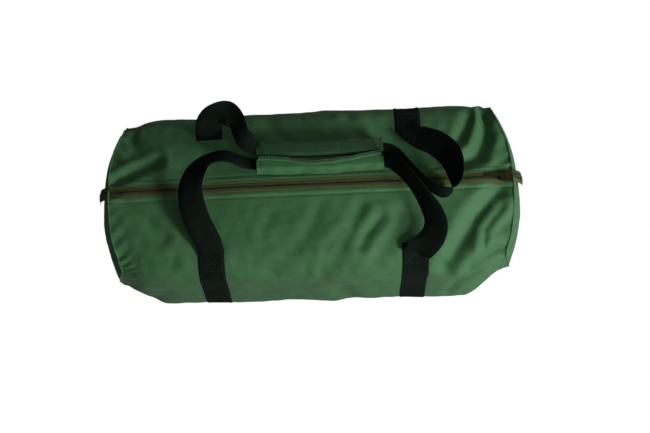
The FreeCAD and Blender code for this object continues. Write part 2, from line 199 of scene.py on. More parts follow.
# ---------------------------------------------------------------- the case's surface
def half_outline():
    """One side of the section, from the middle of the base up to the zip hem, every half millimetre."""
    pts = [(0.0, FLOOR), (WIDTH - BASE_R, FLOOR)]
    for a in np.linspace(-90, 0, 24)[1:]:
        a = math.radians(a)
        pts.append((WIDTH - BASE_R + BASE_R * math.cos(a), FLOOR + BASE_R + BASE_R * math.sin(a)))
    cy = WIDTH - SHOULDER_R
    dy, dz = RIDGE_HALF - cy, RIDGE_Z - SHOULDER_Z
    lean = math.atan2(dz, dy) - math.acos(SHOULDER_R / math.hypot(dy, dz))
    for a in np.linspace(0, lean, 24):
        pts.append((cy + SHOULDER_R * math.cos(a), SHOULDER_Z + SHOULDER_R * math.sin(a)))
    pts += [(RIDGE_HALF, RIDGE_Z), (0.0, RIDGE_Z + 0.001)]
    pts = np.array(pts)
    run = np.concatenate([[0], np.cumsum(np.linalg.norm(np.diff(pts, axis=0), axis=1))])
    s = np.arange(0, run[-1], 0.0005)
    line = np.stack([np.interp(s, run, pts[:, k]) for k in (0, 1)], 1)
    kernel = np.hanning(31)
    kernel /= kernel.sum()
    smooth = np.stack([np.convolve(np.pad(line[:, k], 15, "edge"), kernel, "valid") for k in (0, 1)], 1)
    smooth[:30] = line[:30]
    along = np.gradient(smooth, axis=0)
    along /= np.linalg.norm(along, axis=1)[:, None]
    return s, smooth, np.stack([along[:, 1], -along[:, 0]], 1)


S, LINE, NORMAL = half_outline()
S_FOLD = float(S[np.argmax(LINE[:, 1] > SHOULDER_Z)])
S_HEM = float(S[np.argmax((LINE[:, 0] < HEM) & (LINE[:, 1] > 0.15))])


def smoothstep(t):
    """0 up to t = 0, 1 from t = 1, and a soft rise between."""
    t = np.clip(t, 0, 1)
    return t * t * (3 - 2 * t)


def hill(value, middle, width):
    """1 at the middle, falling away softly on both sides."""
    return np.exp(-((value - middle) / width) ** 2)


# soft folds: side, depth, width, and the line each follows as (along the case, up the side)
FOLDS = [
    (FRONT, 0.0072, 0.0115, [(0.272, 0.372), (0.238, 0.336), (0.212, 0.300), (0.190, 0.262)]),
    (FRONT, 0.0042, 0.0090, [(0.226, 0.256), (0.258, 0.276), (0.290, 0.288)]),
    (FRONT, 0.0030, 0.0060, [(0.276, 0.346), (0.250, 0.316), (0.246, 0.290)]),
    (FRONT, 0.0024, 0.0075, [(0.240, 0.236), (0.214, 0.206), (0.200, 0.160)]),
    (FRONT, 0.0026, 0.0090, [(-0.288, 0.302), (-0.250, 0.292), (-0.205, 0.283)]),
    (FRONT, 0.0014, 0.0100, [(0.012, 0.356), (-0.004, 0.325), (-0.040, 0.286), (-0.060, 0.262)]),
    (FRONT, 0.0010, 0.0060, [(0.040, 0.322), (0.018, 0.296), (0.010, 0.262)]),
    (FRONT, 0.0018, 0.0090, [(0.070, 0.356), (0.056, 0.322), (0.026, 0.280), (0.010, 0.240)]),
    (FRONT, 0.0008, 0.0070, [(-0.060, 0.350), (-0.074, 0.322)]),
    (FRONT, 0.0028, 0.0075, [(0.100, 0.340), (0.078, 0.316), (0.070, 0.300)]),
    (FRONT, 0.0016, 0.0100, [(0.126, 0.342), (0.114, 0.306), (0.086, 0.270)]),
    (FRONT, 0.0020, 0.0080, [(-0.270, 0.372), (-0.240, 0.350), (-0.215, 0.322)]),
    (FRONT, 0.0018, 0.0110, [(-0.105, 0.280), (-0.040, 0.262), (0.030, 0.270)]),
    (BACK, 0.0086, 0.010, [(0.276, 0.285), (0.262, 0.325), (0.246, 0.358), (0.218, 0.372)]),
    (BACK, 0.0044, 0.008, [(0.238, 0.296), (0.222, 0.330), (0.200, 0.352)]),
    (BACK, 0.0060, 0.008, [(-0.290, 0.381), (-0.268, 0.366), (-0.224, 0.345)]),
    (BACK, 0.0026, 0.010, [(-0.272, 0.300), (-0.255, 0.330), (-0.220, 0.352)]),
    (BACK, 0.0016, 0.010, [(-0.060, 0.290), (-0.030, 0.330)]),
    (BACK, 0.0016, 0.008, [(0.060, 0.290), (0.080, 0.325)]),
    (FRONT, 0.0026, 0.014, [(-0.240, 0.060), (-0.250, 0.140), (-0.225, 0.200)]),
    (FRONT, 0.0026, 0.014, [(0.060, 0.120), (0.040, 0.190)]),
    (BACK, 0.0028, 0.014, [(0.240, 0.080), (0.252, 0.150), (0.225, 0.210)]),
    (BACK, 0.0026, 0.014, [(-0.080, 0.110), (-0.050, 0.190)]),
]


def distance_to(x, s, line):
    """How far each point of the cloth is from a line across it."""
    best = np.full(np.shape(x), 1.0)
    for (ax, as_), (bx, bs) in zip(line, line[1:]):
        dx, ds = bx - ax, bs - as_
        t = np.clip(((x - ax) * dx + (s - as_) * ds) / (dx * dx + ds * ds), 0, 1)
        best = np.minimum(best, np.hypot(x - ax - t * dx, s - as_ - t * ds))
    return best


def lumps(x, s, side, scale, seed):
    """Smooth repeatable unevenness in -1..1, sampled coarsely and spread over the grid."""
    out = np.zeros(np.shape(x))
    for k in range(6):
        a = (seed * 1.7 + k * 2.399) % (2 * math.pi)
        f = (1 + 0.45 * k) * 2 * math.pi / scale
        out += np.sin(f * (x * math.cos(a) + s * side * math.sin(a)) + seed * 3.1 + k * 1.3) / (1 + 0.5 * k)
    return out / 2.6


# levels up the side, as runs from the middle of the base
LOW_CORNER, WALL_MIDDLE, SHOULDER, FLAP_MIDDLE = 0.118, 0.2, 0.268, 0.32


def end_taper(x, s, side):
    """How far the section draws in towards the end seams, most of all at the long edges."""
    reach, right = np.abs(x), x > 0
    early = smoothstep((reach - 0.17) / (HALF - 0.17)) ** 2
    late = np.clip((reach - 0.230) / (HALF - 0.230), 0, 1)
    wall = hill(s, WALL_MIDDLE, 0.06)
    top_corner = np.where(right, 0.002, 0.003) if side == BACK else np.where(right, 0.006, 0.010)
    taper = early * (top_corner * hill(s, SHOULDER, 0.040) + 0.006 * wall + 0.003)
    low_corner = np.where(right, 0.033, 0.027) * hill(s, LOW_CORNER, 0.050)
    taper = taper + late ** 1.5 * (low_corner + 0.008 * wall)
    slant = np.clip(x / HALF, -1, 1)
    if side == BACK:
        return taper - 0.004 * hill(s, 0.275, 0.045) * (1 + 0.6 * slant)
    return taper - 0.007 * hill(s, 0.125, 0.05) * (1 - late) * (1 + 0.5 * slant)


def stuffing(x, s):
    """The soft bulge of the padding, and the dip that each webbing band pulls into it."""
    reach = np.abs(x)
    free = 1 - smoothstep((reach - 0.25) / 0.044)
    over_flap = 0.0045 * hill(s, FLAP_MIDDLE, 0.05) * np.cos(math.pi * x / 0.6)
    on_wall = 0.003 * hill(s, 0.19, 0.06)
    band_dip = 0.0022 * hill(reach, BAND_X, 0.024) * smoothstep(s / 0.1)
    return free * (over_flap + on_wall) - band_dip


def creases(x, s, side):
    """The folds: each a soft valley with a rounded shoulder beside it."""
    out = np.zeros(np.shape(x))
    for which, depth, width, line in FOLDS:
        if which == side:
            d = distance_to(x, s, line)
            out += 0.45 * depth * hill(d, 2.1 * width, width) - depth * hill(d, 0, width)
    return out


def unevenness(x, s, side):
    """Slow lumps of the padding, fading out beside the zip and under the base."""
    off_zip = 1 - smoothstep((s - (S_HEM - 0.03)) / 0.03)
    slow, quick = lumps(x, s, side, 0.16, 1 + side), lumps(x, s, side, 0.05, 4 + side)
    return off_zip * smoothstep(s / 0.12) * (0.0016 * slow + 0.0007 * quick)


def seam_gathers(x, s, side):
    """Small puckers where the cloth is gathered into an end seam."""
    reach = np.abs(x)
    near_seam = smoothstep((reach - 0.258) / 0.036)
    pucker = np.sin(s * 2 * math.pi / 0.019 + 2 * np.sin(s * 47) + side + 9 * (reach - HALF) / 0.05)
    return 0.0017 * near_seam * pucker * (0.6 + 0.4 * np.sin(s * 31 + x * 4))


def zip_hem(s):
    """The folded hem beside the zip, and the groove of its stitching."""
    return 0.0011 * hill(s, S_HEM - 0.0018, 0.0026) - 0.0009 * hill(s, S_HEM - 0.0066, 0.0018)


def relief(x, s, side):
    """How far the cloth stands out of the plain section, in metres."""
    shape = stuffing(x, s) - end_taper(x, s, side) + creases(x, s, side)
    return shape + unevenness(x, s, side) + seam_gathers(x, s, side) + zip_hem(s)


def surface(x, s, side, lift=0.0):
    """Points of the cloth at distance x along the case and s up its side; lift is added outward."""
    x, s = np.broadcast_arrays(np.asarray(x, float), np.asarray(s, float))
    y, z = np.interp(s, S, LINE[:, 0]), np.interp(s, S, LINE[:, 1])
    ny, nz = np.interp(s, S, NORMAL[:, 0]), np.interp(s, S, NORMAL[:, 1])
    out = relief(x, s, side) + lift
    near_end = smoothstep((np.abs(x) - 0.235) / (HALF - 0.235))
    at_edges = 0.017 * hill(s, SHOULDER, 0.05) + 0.012 * hill(s, LOW_CORNER, 0.06)
    drawn_in = at_edges + 0.004 * hill(s, 0.0, 0.06)
    along = x - np.sign(x) * near_end * drawn_in * (1.25 if side == BACK else 0.85)
    height = np.maximum(z + nz * out, FLOOR + 0.0002 + np.minimum(lift, 0) * np.sign(nz))
    return np.stack([along, side * (y + ny * out), height], -1)


def run_along(path):
    """Distance from the start at each point of a path."""
    return np.concatenate([[0], np.cumsum(np.linalg.norm(np.diff(path, axis=0), axis=1))])


def linked(name, mesh, material):
    """An object for a finished mesh, in the scene and with its material."""
    mesh.materials.append(material)
    obj = bpy.data.objects.new(name, mesh)
    bpy.context.collection.objects.link(obj)
    return obj


def grid_mesh(name, points, uvs, material, flip=False):
    """A cloth grid: points[rows, columns, 3], uvs[rows, columns, 2] in metres; flip turns its faces over."""
    if flip:
        points, uvs = points[::-1], uvs[::-1]
    rows, cols = points.shape[:2]
    index = np.arange(rows * cols).reshape(rows, cols)
    faces = np.stack([index[:-1, :-1], index[:-1, 1:], index[1:, 1:], index[1:, :-1]], -1).reshape(-1, 4)
    mesh = bpy.data.meshes.new(name)
    mesh.from_pydata(points.reshape(-1, 3).tolist(), [], faces.tolist())
    layer = mesh.uv_layers.new(name="cloth")
    corner = np.zeros(len(mesh.loops), int)
    mesh.loops.foreach_get("vertex_index", corner)
    layer.data.foreach_set("uv", uvs.reshape(-1, 2)[corner].ravel())
    mesh.polygons.foreach_set("use_smooth", [True] * len(mesh.polygons))
    mesh.update()
    return linked(name, mesh, material)


def dress(replaced=()):
    """Hide the plain CAD nodes that a piece stands for."""
    if replaced:
        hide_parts(*replaced)


def placed(obj, body, replaced=()):
    """A piece that moves with one body."""
    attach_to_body(obj, body)
    dress(replaced)


def bent(obj, replaced=()):
    """A piece baked in place where it is built, attached to no body, with the plain CAD nodes it stands for
    hidden.
    """
    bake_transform(obj)
    dress(replaced)


def carried(obj, word, part, replaced=()):
    """A piece of a top half: its middle moves with the half, its end pieces stay baked in place."""
    if part == "middle":
        placed(obj, f"{word}_top", replaced)
    else:
        bent(obj, replaced)


def match_normals(obj, x, s, side):
    """Take shading normals from the whole cloth surface, so that skins meet without a line between them."""
    found = np.zeros(len(obj.data.vertices) * 3)
    obj.data.vertices.foreach_get("normal", found)
    found = found.reshape(-1, 3)
    e = 0.0008
    across = surface(x + e, s, side) - surface(x - e, s, side)
    up = surface(x, s + e, side) - surface(x, s - e, side)
    exact = np.cross(across, up).reshape(-1, 3)
    exact /= np.maximum(np.linalg.norm(exact, axis=1), 1e-12)[:, None]
    exact *= np.where(np.sum(exact * found, 1) < 0, -1, 1)[:, None]
    off_hem = (s.ravel() < S_HEM - 0.012) & (s.ravel() > 0.001)
    found[off_hem] = exact[off_hem]
    obj.data.normals_split_custom_set_from_vertices(found.tolist())


def lining(name, xs, ss, side, fold_first):
    """The inside cloth of a padded panel, its edge at the fold turned out to meet the outer cloth."""
    fold = ss[0] if fold_first else ss[-1]
    rows = [(s, -THICK) for s in ss]
    turned = [(fold, lift) for lift in (-0.0075, -0.004, -0.0006)]
    rows = turned[::-1] + rows if fold_first else rows + turned
    points = np.array([surface(xs, np.full_like(xs, s), side, lift) for s, lift in rows])
    run = np.array([s - lift for s, lift in rows])
    uvs = np.stack(np.broadcast_arrays(xs[None], run[:, None] * side), -1)
    return grid_mesh(name, points, uvs, LINING, flip=side < 0)


def cloth(name, xs, ss, side, material, lift=0.0):
    """A piece of the case's cloth between the given distances along it and runs up its side."""
    x, s = np.meshgrid(xs, ss)
    points = surface(x, s, side, lift)
    uvs = np.stack([x, s * side], -1)
    if side > 0:
        points, uvs, x, s = points[::-1], uvs[::-1], x[::-1], s[::-1]
    obj = grid_mesh(name, points, uvs, material)
    if lift == 0.0:
        match_normals(obj, x, s, side)
    return obj


# ---------------------------------------------------------------- body of the case

def case_skin():
    """Base and both walls in one padded sheet, up to the fold lines, with the lining inside."""
    xs = np.linspace(-HALF, HALF, int(2 * HALF / STEP))
    ss = np.linspace(0, S_FOLD, int(S_FOLD / STEP))
    for side, word in SIDES:
        skin = cloth(f"{word}_wall_skin", xs, ss, side, FABRIC)
        placed(skin, "case", (f"{word}_wall_panel", f"{word}_wall_foam"))
        inside = lining(f"{word}_wall_lining_skin", np.linspace(-HALF, HALF, 90),
                        np.linspace(0, S_FOLD, 40), side, False)
        placed(inside, "case", (f"{word}_wall_lining",))
    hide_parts("base_panel", "base_foam")
    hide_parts("base_lining")


# the cloth's way round the foam edge beside the zip, as (step towards the zip, lift)
ROUND_EDGE = [(0.0008, 0.0003), (0.0011, -0.0006), (0.0006, -0.0016), (-0.002, -0.0024), (-0.004, -0.006),
              (-0.0045, -THICK)]


def flap_skin(name, xs, side):
    """The outer cloth of a top half, folded over its foam edge beside the zip."""
    ss = np.concatenate([np.linspace(S_FOLD, S_HEM - 0.012, 50), np.linspace(S_HEM - 0.0113, S_HEM, 16)])
    x, s = np.meshgrid(xs, ss)
    edge = []
    for step, lift in ROUND_EDGE:
        row = surface(xs, np.full_like(xs, S_HEM), side, lift)
        row[:, 1] -= side * step
        edge.append(row)
    points = np.concatenate([surface(x, s, side), np.array(edge)])
    beyond = [S_HEM + 0.001 * (k + 1) for k in range(len(edge))]
    x = np.concatenate([x] + [xs[None]] * len(edge))
    s = np.concatenate([s] + [np.full_like(xs, run)[None] for run in beyond])
    uvs = np.stack([x, s * side], -1)
    if side > 0:
        points, uvs, x, s = points[::-1], uvs[::-1], x[::-1], s[::-1]
    obj = grid_mesh(name, points, uvs, FABRIC)
    match_normals(obj, x, s, side)
    return obj


def top_halves():
    """Each half rides its panel in the middle; its end pieces stay baked in place."""
    spans = {"left": np.linspace(-HALF, -SPLIT, 60), "middle": np.linspace(-SPLIT, SPLIT, 120),
             "right": np.linspace(SPLIT, HALF, 60)}
    ss = np.linspace(S_FOLD, S_HEM - 0.004, 30)
    for side, word in SIDES:
        for part, xs in spans.items():
            plain_nodes = part == "middle"
            skin = flap_skin(f"{word}_top_{part}_skin", xs, side)
            inside = lining(f"{word}_top_{part}_lining_skin", np.linspace(xs[0], xs[-1], 32), ss, side, True)
            carried(skin, word, part,
                    (f"{word}_top_panel", f"{word}_top_foam") if plain_nodes else ())
            carried(inside, word, part, (f"{word}_top_lining",) if plain_nodes else ())


def fold_strips():
    """The cloth that runs on inside each fold, baked in place between the wall and the top half."""
    ss = np.linspace(S_FOLD - 0.011, S_FOLD + 0.011, 15)
    spans = {"left": np.linspace(-0.287, -SPLIT, 40), "middle": np.linspace(-SPLIT, SPLIT, 60),
             "right": np.linspace(SPLIT, 0.287, 40)}
    for side, word in SIDES:
        for (part, xs), sign in zip(spans.items(), (-1, 0, 1)):
            # The strip takes the dark lining cloth, its inside colour; where it shows in the outside crease,
            # that dark stands in for the crease's shade (painted shade).
            strip = cloth(f"{word}_fold_strip_{part}", xs, ss, side, LINING, -0.0022)
            bent(strip)


def ring_line(sign):
    """The end seam all the way round: middle of the base, up the front, over the zip, down the back."""
    up = np.linspace(0, S_HEM + HEM, 110)
    x = np.full_like(up, sign * HALF)
    front, back = surface(x, np.minimum(up, S[-1]), FRONT), surface(x, np.minimum(up, S[-1]), BACK)
    return np.concatenate([front, back[::-1][1:]])


def end_dome(ring, centre, sign):
    """The stuffed panel inside an end seam: a dome with puckers beside the seam and three soft dents."""
    around = np.linspace(0, 2 * math.pi, len(ring))
    rows, uvs = [], []
    for f in np.linspace(1.0, 0.0, 35):
        row = centre + (ring - centre) * f
        row[:, 0] = ring[:, 0] * f ** 2 + centre[0] * (1 - f ** 2)
        pucker = 0.0013 * smoothstep((f - 0.78) / 0.2) * np.sin(around * 37 + 2.3 * np.sin(around * 5))
        dent = 0.0030 * np.sin(3 * around + 1.1) * f * (1 - f) * 2
        row[:, 0] += sign * (0.0165 * (1 - f ** 3.2) + pucker + dent)
        rows.append(row)
        uvs.append(np.stack([0.4 * f * np.cos(around), 0.4 * f * np.sin(around)], 1))
    return np.array(rows), np.array(uvs)


def end_panels():
    """Stuffed end panels: domes gathered into the end seam, with a thin piped ridge on it."""
    for sign, word in ENDS:
        ring = ring_line(sign)
        centre = np.array([sign * HALF, 0.0, 0.098])
        dome = grid_mesh(f"{word}_end_skin", *end_dome(ring, centre, sign), FABRIC, flip=sign < 0)
        placed(dome, "case", (f"{word}_end_panel", f"{word}_end_foam"))
        inner = np.array([centre + (ring - centre) * f for f in (0.92, 0.5, 0.02)])
        for row, f in zip(inner, (0.92, 0.5, 0.02)):
            row[:, 0] = ring[:, 0] * f ** 2 + centre[0] * (1 - f ** 2) - sign * 0.006
        rings = inner if sign < 0 else inner[::-1]
        plate = grid_mesh(f"{word}_end_lining_skin", rings, inner[..., 1:], LINING)
        placed(plate, "case", (f"{word}_end_lining",))
        ridge = tube(f"{word}_end_piping_cord", ring[4:-4], 0.0013, FABRIC)
        placed(ridge, "case", (f"{word}_end_piping",))


def tube(name, path, radius, material, sides=8):
    """A round cord along a path."""
    path = np.asarray(path, float)
    along = np.gradient(path, axis=0)
    along /= np.maximum(np.linalg.norm(along, axis=1), 1e-9)[:, None]
    steep = abs(along[:, 2]).mean() >= 0.7
    across = np.cross(along, [1.0, 0.0, 0.0] if steep else [0.0, 0.0, 1.0])
    across /= np.maximum(np.linalg.norm(across, axis=1), 1e-9)[:, None]
    up = np.cross(across, along)
    turn = np.linspace(0, 2 * math.pi, sides + 1)
    around = np.cos(turn)[None, :, None] * across[:, None] + np.sin(turn)[None, :, None] * up[:, None]
    uvs = np.stack(np.broadcast_arrays(run_along(path)[:, None], turn[None] * radius), -1)
    return grid_mesh(name, path[:, None] + radius * around, uvs, material)


# ---------------------------------------------------------------- webbing sewn round the case
# a band's cross section, as (share of its width, lift)
BAND_PROFILE = np.array([(-0.5, -0.0012), (-0.5, 0.0006), (-0.47, 0.0013), (-0.3, 0.0016), (0, 0.0017),
                         (0.3, 0.0016), (0.47, 0.0013), (0.5, 0.0006), (0.5, -0.0012)])


def webbing_strip(name, x0, ss, side):
    """A flat band on the cloth, with a slightly rounded edge and real thickness."""
    rows, uvs = [], []
    for s in ss:
        x = x0 + BAND_PROFILE[:, 0] * BAND_W
        level = np.full(len(x), s)
        row = surface(x, level, side)
        outward = surface(x, level, side, 0.001) - row
        outward /= np.maximum(np.linalg.norm(outward, axis=1), 1e-6)[:, None]
        row = row + outward * BAND_PROFILE[:, 1:]
        row[:, 2] = np.maximum(row[:, 2], 0.0)
        rows.append(row)
        uvs.append(np.stack([level, x - x0], 1))
    return grid_mesh(name, np.array(rows), np.array(uvs), WEBBING, flip=side > 0)


def s_at(y):
    """Distance up the side where the top reaches y from the middle."""
    upper = LINE[:, 1] > 0.15
    return float(np.interp(-y, -LINE[upper, 0], S[upper]))


ATTACH = {"front": (FRONT, 0.090), "back": (BACK, 0.077)}


def webbing_bands():
    """Two bands round the case; each runs on over both top halves as far as the handle's sewn end."""
    for sign, end in ENDS:
        for word, (side, attach) in ATTACH.items():
            x0, top = sign * BAND_X, s_at(attach)
            low = webbing_strip(f"{end}_band_{word}", x0, np.linspace(0.0, S_FOLD, 70), side)
            placed(low, "case", (f"{end}_webbing_band",))
            high = webbing_strip(f"{end}_band_{word}_top", x0, np.linspace(S_FOLD, top, 30), side)
            placed(high, f"{word}_top", (f"{word}_{end}_webbing_top",))
            stitch_box(word, end, x0, side, top)


def stitches(name, paths, material, radius=0.00032, length=0.0030, gap=0.0014):
    """Rows of short thread stitches along paths: each a six-sided rod with pointed ends."""
    verts, faces = [], []
    corners = [(math.cos(k * math.pi / 3), math.sin(k * math.pi / 3)) for k in range(6)]
    for path in paths:
        run = run_along(path)
        for start in np.arange(0.001, run[-1] - length, length + gap):
            head, tail = (np.array([np.interp(at, run, path[:, k]) for k in range(3)])
                          for at in (start, start + length))
            along = (tail - head) / max(np.linalg.norm(tail - head), 1e-9)
            side = np.cross(along, [0.13, 0.21, 0.97])
            side /= np.linalg.norm(side)
            up = np.cross(side, along)
            first, tip = len(verts), along * 0.0005
            for middle, share in ((head, 0.3), (head + tip, 1), (tail - tip, 1), (tail, 0.3)):
                verts += [middle + radius * share * (side * c + up * s) for c, s in corners]
            for ring in range(first, first + 18, 6):
                faces += [(ring + a, ring + b, ring + 6 + b, ring + 6 + a)
                          for a, b in zip(range(6), (1, 2, 3, 4, 5, 0))]
            faces.append(tuple(range(first + 5, first - 1, -1)))
            faces.append(tuple(range(first + 18, first + 24)))
    mesh = bpy.data.meshes.new(name)
    mesh.from_pydata([tuple(v) for v in verts], [], faces)
    return linked(name, mesh, material)


def stitch_box(word, end, x0, side, top):
    """The stitched square with a cross that holds a handle, and the rows down the band's edges."""
    low, high, w = top - 0.030, top - 0.003, BAND_W / 2 - 0.004

    def on_band(points):
        pts = []
        for (xa, sa), (xb, sb) in zip(points, points[1:]):
            t = np.linspace(0, 1, 10)
            pts.append(surface(x0 + xa + (xb - xa) * t, sa + (sb - sa) * t, side, 0.0019))
        return np.concatenate(pts)

    def rows(a, b):
        return [on_band([(edge, a), (edge, b)]) for edge in (-w - 0.0015, w + 0.0015)]

    box = on_band([(-w, low), (w, low), (w, high), (-w, high), (-w, low), (w, high)])
    sewn = {f"{end}_{word}_box_stitch": ([box, on_band([(-w, high), (w, low)])], f"{word}_top"),
            f"{end}_{word}_edge_stitch": (rows(S_FOLD + 0.002, low), f"{word}_top"),
            f"{end}_{word}_wall_stitch": (rows(0.09, S_FOLD - 0.002), "case")}
    for name, (paths, body) in sewn.items():
        placed(stitches(name, paths, BLACK_THREAD), body)


# ---------------------------------------------------------------- zip
def zip_level(x):
    """Height of the zip, which dips a little at both ends."""
    s = np.full(np.shape(x), S_HEM)
    return (surface(x, s, FRONT)[..., 2] + surface(x, s, BACK)[..., 2]) / 2


# half a tape's cross section, from the coil to the hem, as (distance from the middle, height)
TAPE_PROFILE = [(0.0018, -0.0016), (0.0032, -0.0002), (0.0062, 0.0002), (0.0092, 0.0000), (0.0118, -0.0016)]
COIL_PITCH, COIL_Y = 0.0017, 0.0024


def zip_parts():
    """Tapes, coils and stitching: fixed at the ends, carried by each half in the middle."""
    spans = {"left": (-HALF, -SPLIT), "middle": (-SPLIT, SPLIT), "right": (SPLIT, HALF)}
    for side, word in SIDES:
        for part, (a, b) in spans.items():
            xs = np.linspace(a, b, 70)
            level = zip_level(xs)

            def beside(y, z):
                return np.stack([xs, np.full_like(xs, side * y), level + z], 1)

            uvs = np.array([np.stack([xs, np.full_like(xs, y)], 1) for y, _ in TAPE_PROFILE])
            tape = grid_mesh(f"{word}_zip_tape_{part}", np.array([beside(y, z) for y, z in TAPE_PROFILE]),
                             uvs, TAPE, flip=side < 0)
            loops = int((b - a) / COIL_PITCH)
            turns = np.linspace(0, loops, loops * 9)
            x, swing = a + (b - a) * turns / loops, 2 * math.pi * turns
            helix = np.stack([x, side * (COIL_Y + 0.0019 * np.cos(swing)),
                              zip_level(x) - 0.0001 + 0.0011 * np.sin(swing)], 1)
            coil = tube(f"{word}_zip_coil_{part}", helix, 0.00036, COIL, 4)
            sewn = [beside(0.0050, 0.0003), beside(0.0074, 0.0004)]
            thread = stitches(f"{word}_zip_stitch_{part}", sewn, THREAD, 0.00022, 0.002, 0.0016)
            hem = [surface(xs, np.full_like(xs, S_HEM - 0.0045), side, 0.0003)]
            hem_row = stitches(f"{word}_hem_stitch_{part}", hem, THREAD, 0.00034, 0.0030, 0.0015)
            plain_nodes = part == "middle"
            carried(tape, word, part, (f"{word}_zip_tape",) if plain_nodes else ())
            carried(coil, word, part, (f"{word}_zip_coil",) if plain_nodes else ())
            carried(thread, word, part)
            carried(hem_row, word, part)


def block(name, centre, size, material):
    """A small moulded block with softened edges."""
    mesh = bpy.data.meshes.new(name)
    (cx, cy, cz), (hx, hy, hz) = centre, (length / 2 for length in size)
    verts = [(cx + x * hx, cy + y * hy, cz + z * hz) for x in (-1, 1) for y in (-1, 1) for z in (-1, 1)]
    faces = [(0, 1, 3, 2), (4, 6, 7, 5), (0, 4, 5, 1), (2, 3, 7, 6), (0, 2, 6, 4), (1, 5, 7, 3)]
    mesh.from_pydata(verts, [], faces)
    obj = linked(name, mesh, material)
    soften = obj.modifiers.new("soften", "BEVEL")
    soften.width, soften.segments = 0.0003, 2
    return obj


def zip_stops():
    """One small metal stop at each end of each coil; they stay with the zip's ends when the top opens."""
    for side, word, reach in ((FRONT, "front", 0.2729), (BACK, "back", 0.2931)):
        for sign, end in ENDS:
            level = float(zip_level(np.array([sign * reach]))[0])
            stop = block(f"{word}_zip_stop_{end}", (sign * reach, side * 0.0027, level + 0.0002),
                         (0.0018, 0.0032, 0.0034), METAL)
            carried(stop, word, end, (f"{word}_zip_stops",))


def zip_ends():
    """The zip runs on over each stuffed end: tape, a few closed coils and the sewn-down tail."""
    for sign, word in ENDS:
        t = np.linspace(0, 1, 22)
        over = t * math.pi / 2
        x = sign * (HALF - 0.002 + 0.0178 * np.sin(over))
        level = float(zip_level(np.array([sign * HALF]))[0])
        z = level + 0.0008 - 0.026 * (1 - np.cos(over)) - 0.002 * t
        across = np.array([-0.0095, -0.0088, -0.003, 0.003, 0.0088, 0.0095])
        points = np.stack([np.stack([x, np.full_like(x, y), z + (0.0004 if abs(y) < 0.009 else -0.001)], 1)
                           for y in across])
        uvs = np.stack([np.stack([t * 0.03, np.full_like(t, y)], 1) for y in across])
        tail = grid_mesh(f"{word}_zip_tail", points, uvs, TAPE, flip=sign < 0)
        placed(tail, "case", (f"{word}_zip_end_tab",))
        turn = np.linspace(0, 16 * 2 * math.pi, 16 * 9)
        k = turn / turn[-1]
        for side, half in SIDES:
            helix = np.stack([np.interp(k, t, x) + sign * 0.0006, side * (0.0022 + 0.0018 * np.cos(turn)),
                              np.interp(k, t, z) + 0.0010 + 0.0009 * np.sin(turn)], 1)
            placed(tube(f"{word}_zip_tail_coil_{half}", helix, 0.00042, COIL, 4), "case")


# ---------------------------------------------------------------- handles
def smooth_path(points, count):
    """A smooth curve through given points."""
    pts = np.asarray(points, float)
    run = run_along(pts)
    out = []
    for t in np.linspace(0, run[-1], count):
        k = int(np.clip(np.searchsorted(run, t, "right") - 1, 0, len(pts) - 2))
        h = run[k + 1] - run[k]
        u = (t - run[k]) / h

        def slope(i):
            lo, hi = max(i - 1, 0), min(i + 1, len(pts) - 1)
            return (pts[hi] - pts[lo]) / (run[hi] - run[lo])

        a, b, ma, mb = pts[k], pts[k + 1], slope(k) * h, slope(k + 1) * h
        out.append((2 * u ** 3 - 3 * u ** 2 + 1) * a + (u ** 3 - 2 * u ** 2 + u) * ma
                   + (-2 * u ** 3 + 3 * u ** 2) * b + (u ** 3 - u ** 2) * mb)
    return np.array(out)


def spread_along(stations, values, count):
    """Values given at the stations, spread along the curve through their centres and softened."""
    run = run_along(np.array([p for p, _, _ in stations], float))
    values = np.array(values)
    at = np.linspace(0, run[-1], count)
    kernel = np.hanning(9)
    kernel /= kernel.sum()
    columns = [np.interp(at, run, column) for column in values.T]
    return np.stack([np.convolve(np.pad(column, 4, "edge"), kernel, "valid") for column in columns], 1)


# the webbing's cross section, as (share of half its width, share of half its thickness)
RIBBON_PROFILE = [(-1, -0.4), (-0.97, -1), (-0.5, -1), (0, -1), (0.5, -1), (0.97, -1), (1, -0.4), (1, 0.4),
                  (0.97, 1), (0.5, 1), (0, 1), (-0.5, 1), (-0.97, 1), (-1, 0.4), (-1, -0.4)]


def ribbon(name, stations, material, count=90):
    """Webbing along stations (centre mm, direction across, width mm), with rounded edges."""
    centre = smooth_path([np.array(p) / 1000 for p, _, _ in stations], count)
    leans = []
    for _, direction, width in stations:
        direction = np.array(direction, float) / np.linalg.norm(direction)
        if leans and direction @ leans[-1][:3] < 0:
            direction = -direction
        leans.append(np.append(direction, width / 1000))
    lean = spread_along(stations, leans, count)
    along = np.gradient(centre, axis=0)
    along /= np.linalg.norm(along, axis=1)[:, None]
    across = lean[:, :3] - along * np.sum(lean[:, :3] * along, 1)[:, None]
    across /= np.linalg.norm(across, axis=1)[:, None]
    up = np.cross(along, across)
    half, thick = lean[:, 3:] / 2, WEB / 2
    points = np.stack([centre + across * (half * a) + up * (thick * b) for a, b in RIBBON_PROFILE], 1)
    uvs = np.stack([np.stack([run_along(centre), half[:, 0] * a], 1) for a, _ in RIBBON_PROFILE], 1)
    return grid_mesh(name, points, uvs, material)


